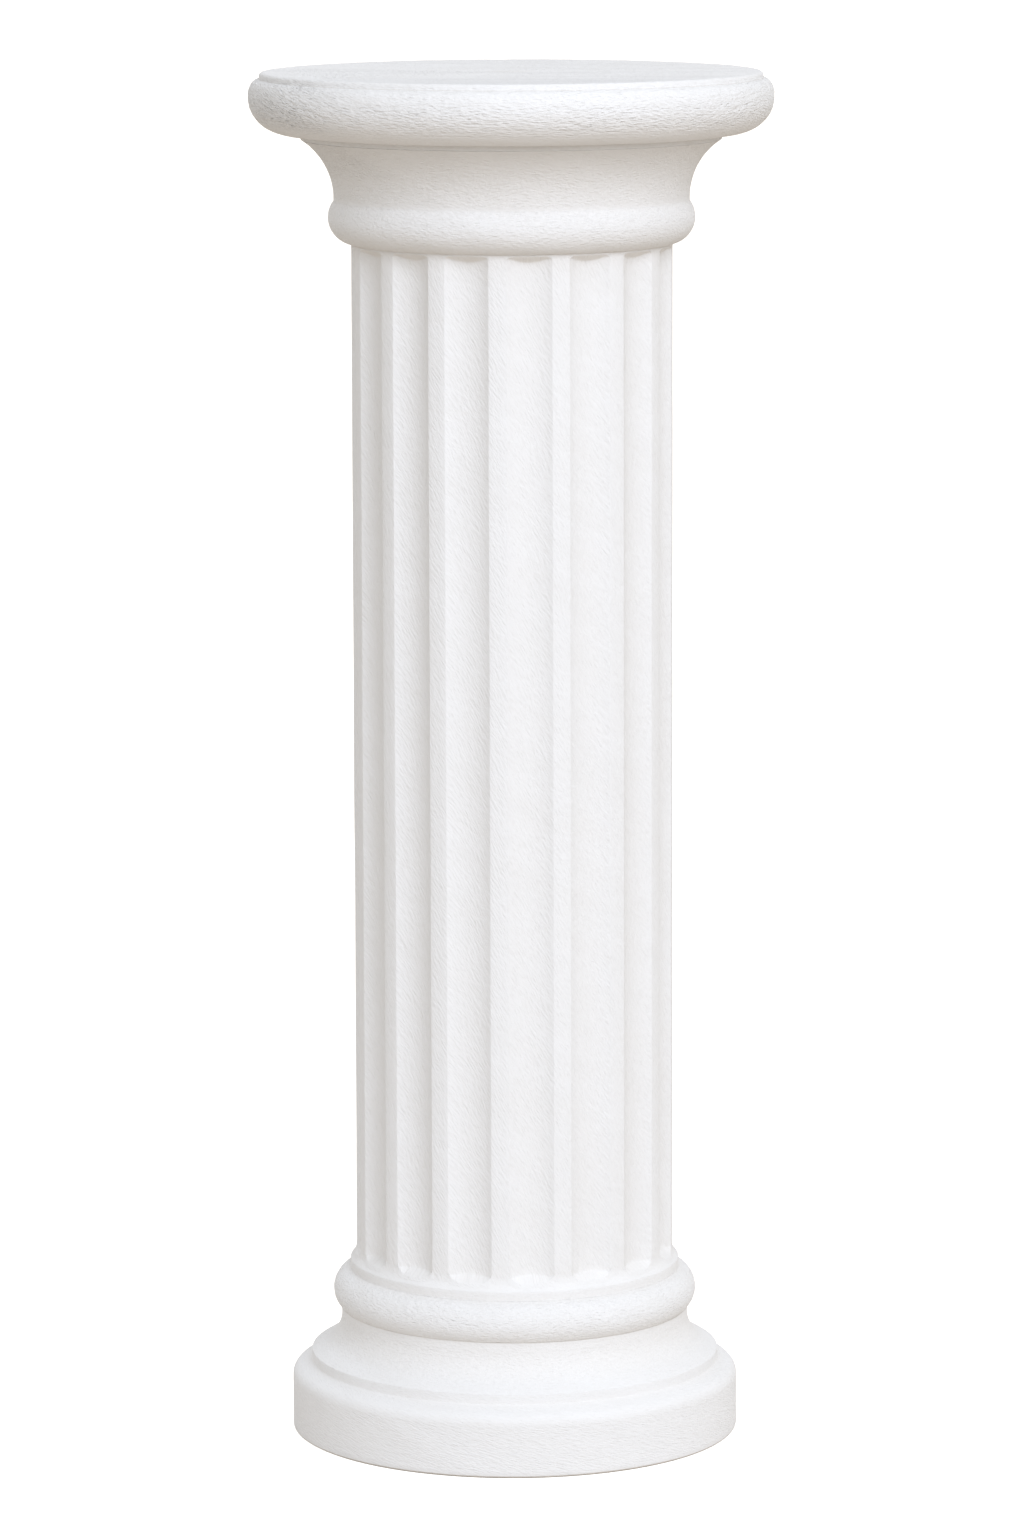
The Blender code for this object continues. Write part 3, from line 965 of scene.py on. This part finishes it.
def marked_normal(n, marks, grain):
    """Bumps for the drag lines and flute hatching, the nicks, the grain and the pits."""
    dragging = n.math("MULTIPLY", n.math("SUBTRACT", 1.0, marks.fluted), marks.strength)
    dragged = n.math("MULTIPLY", marks.drag, dragging)
    hatched = n.math("MULTIPLY", marks.hatch, n.math("MULTIPLY", marks.fluted, HATCH_SHARE))
    normal = n.bump(n.math("ADD", dragged, hatched), LINE_DEPTH)
    normal = n.bump(n.math("MULTIPLY", marks.nicks, marks.strength), NICK_DEPTH, normal)
    normal = n.bump(grain, GRAIN_DEPTH, normal)
    return n.bump(n.pits(marks.strokes, PIT_SPACING, PIT_SIZE), PIT_DEPTH, normal)


def white_with_painted_shade(n, marks):
    """White plaster, darker in its strokes, with painted warm shade underneath and in hollows, painted shade
    and grey streaks on top, and painted shade in its creases.
    """
    cloud = n.noise(marks.strokes, (CLOUD_SCALE,) * 3, detail=3.0)
    colour = n.mix(n.remap(cloud, *NOISE_RANGE, 0.0, 1.0), SHADED_WHITE, CLEAR_WHITE)
    stroke = n.blend(marks.fluted, marks.drag, marks.hatch)
    colour = n.mix(n.remap(stroke, *STROKE_RANGE, STROKE_SHARE, 0.0), colour, STROKE_COLOUR)
    # Painted warm shade in hollows, flutes and undersides
    colour = n.mix(n.math("MULTIPLY", n.attribute("warm_shade", "Fac"), WARM_SHADE_SHARE), colour, WARM_SHADE_COLOUR)
    # Painted shade on the flat top, partly in faint grey streaks
    colour = n.mix(n.math("MULTIPLY", top_painted_shade(n), TOP_SHADE_SHARE), colour, TOP_SHADE_COLOUR)
    # Painted shade in the creases and a painted contact shadow at the foot
    return n.mix(n.attribute("painted_crease_shade", "Fac"), colour, CREASE_SHADE_COLOUR)


def plaster():
    material = bpy.data.materials.new("plaster")
    material.use_nodes = True
    n = Nodes(material)
    marks = Marks(n)
    grain = n.noise(marks.strokes, (GRAIN_SCALE,) * 3, detail=3.0, roughness=0.6)
    n.put(marked_normal(n, marks, grain), n.shader.inputs["Normal"])
    n.put(white_with_painted_shade(n, marks), n.shader.inputs["Base Color"])
    n.put(n.remap(grain, *NOISE_RANGE, *ROUGHNESS), n.shader.inputs["Roughness"])
    n.shader.inputs["Specular IOR Level"].default_value = SPECULAR
    return material


def fade_with_distance(tree, place, fade, near, far):
    """A colour that goes from near to far as the distance from the column's foot passes the fade."""
    share = tree.nodes.new("ShaderNodeMapRange")
    share.inputs["From Min"].default_value = fade[0]
    share.inputs["From Max"].default_value = fade[1]
    blend = tree.nodes.new("ShaderNodeMix")
    blend.data_type = "RGBA"
    put(tree, vector_maths(tree, "LENGTH", place).outputs["Value"], share.inputs["Value"])
    put(tree, share.outputs["Result"], blend.inputs["Factor"])
    put(tree, near, blend.inputs["A"])
    put(tree, far, blend.inputs["B"])
    return blend.outputs["Result"]


def add_floor():
    """A white floor whose own glow reaches the camera but not the column, like a lit backdrop."""
    mesh = bpy.data.meshes.new("floor")
    reach = FLOOR_REACH
    corners = [(-reach, -reach, 0), (reach, -reach, 0), (reach, reach, 0), (-reach, reach, 0)]
    mesh.from_pydata(corners, [], [(0, 1, 2, 3)])
    floor = bpy.data.objects.new("floor", mesh)
    bpy.context.collection.objects.link(floor)
    material = bpy.data.materials.new("pale_floor")
    material.use_nodes = True
    tree = material.node_tree
    shader = tree.nodes["Principled BSDF"]
    place = tree.nodes.new("ShaderNodeTexCoord").outputs["Object"]
    # The floor's colour is lighter near the column's foot: a painted pool of light, whose bounce lights the
    # column
    bounce = fade_with_distance(tree, place, FLOOR_FADE, FLOOR_NEAR, FLOOR_FAR)
    tree.links.new(bounce, shader.inputs["Base Color"])
    shader.inputs["Roughness"].default_value = 1
    shader.inputs["Specular IOR Level"].default_value = 0
    shader.inputs["Emission Color"].default_value = FLOOR_GLOW
    shader.inputs["Emission Strength"].default_value = 1
    mesh.materials.append(material)
    glow = bpy.data.collections.new("lit_by_floor")
    glow.objects.link(floor)
    floor.light_linking.receiver_collection = glow


def add_light(name, turn, rise, power):
    """A soft disk of light aimed at the column, its turn in degrees from the camera's side to the right."""
    light = bpy.data.lights.new(name, "AREA")
    light.shape = "DISK"
    light.size = LIGHT_SIZE
    light.energy = power
    light.color = LIGHT_COLOUR
    lamp = bpy.data.objects.new(name, light)
    turn, rise = math.radians(turn), math.radians(rise)
    away = Vector((math.sin(turn), -math.cos(turn), math.tan(rise))).normalized()
    lamp.location = Vector((0, 0, COLUMN_HEIGHT / 2)) + LIGHT_DISTANCE * away
    lamp.rotation_euler = away.to_track_quat("Z", "Y").to_euler()
    bpy.context.collection.objects.link(lamp)


def add_dome():
    """A dome of light: each side glows most straight ahead of it and fades to nothing at right angles."""
    world = bpy.data.worlds.new("studio")
    world.use_nodes = True
    tree = world.node_tree
    place = tree.nodes.new("ShaderNodeTexCoord").outputs["Generated"]
    total = (0, 0, 0)
    for toward, colour in DOME_SIDES.values():
        facing = vector_maths(tree, "DOT_PRODUCT", place, toward).outputs["Value"]
        share = tree.nodes.new("ShaderNodeMapRange")
        tree.links.new(facing, share.inputs["Value"])
        glow = vector_maths(tree, "SCALE", colour)
        tree.links.new(share.outputs["Result"], glow.inputs["Scale"])
        total = vector_maths(tree, "ADD", glow.outputs["Vector"], total).outputs["Vector"]
    tree.links.new(total, tree.nodes["Background"].inputs["Color"])
    bpy.context.scene.world = world


def add_camera():
    data = bpy.data.cameras.new("camera")
    data.lens = CAMERA_LENS
    data.sensor_width = SENSOR
    data.clip_end = CAMERA_REACH
    camera = bpy.data.objects.new("camera", data)
    turn = Matrix.Rotation(math.pi / 2 - CAMERA_PITCH, 3, "X") @ Matrix.Rotation(CAMERA_ROLL, 3, "Z")
    camera.rotation_euler = turn.to_euler()
    camera.location = (CAMERA_SIDE, -CAMERA_DISTANCE, CAMERA_HEIGHT)
    bpy.context.collection.objects.link(camera)
    bpy.context.scene.camera = camera


main()
add_floor()
add_light("front_light", **FRONT_LIGHT)
add_light("back_light", **BACK_LIGHT)
add_dome()
add_camera()
bpy.context.scene.view_settings.view_transform = "Standard"
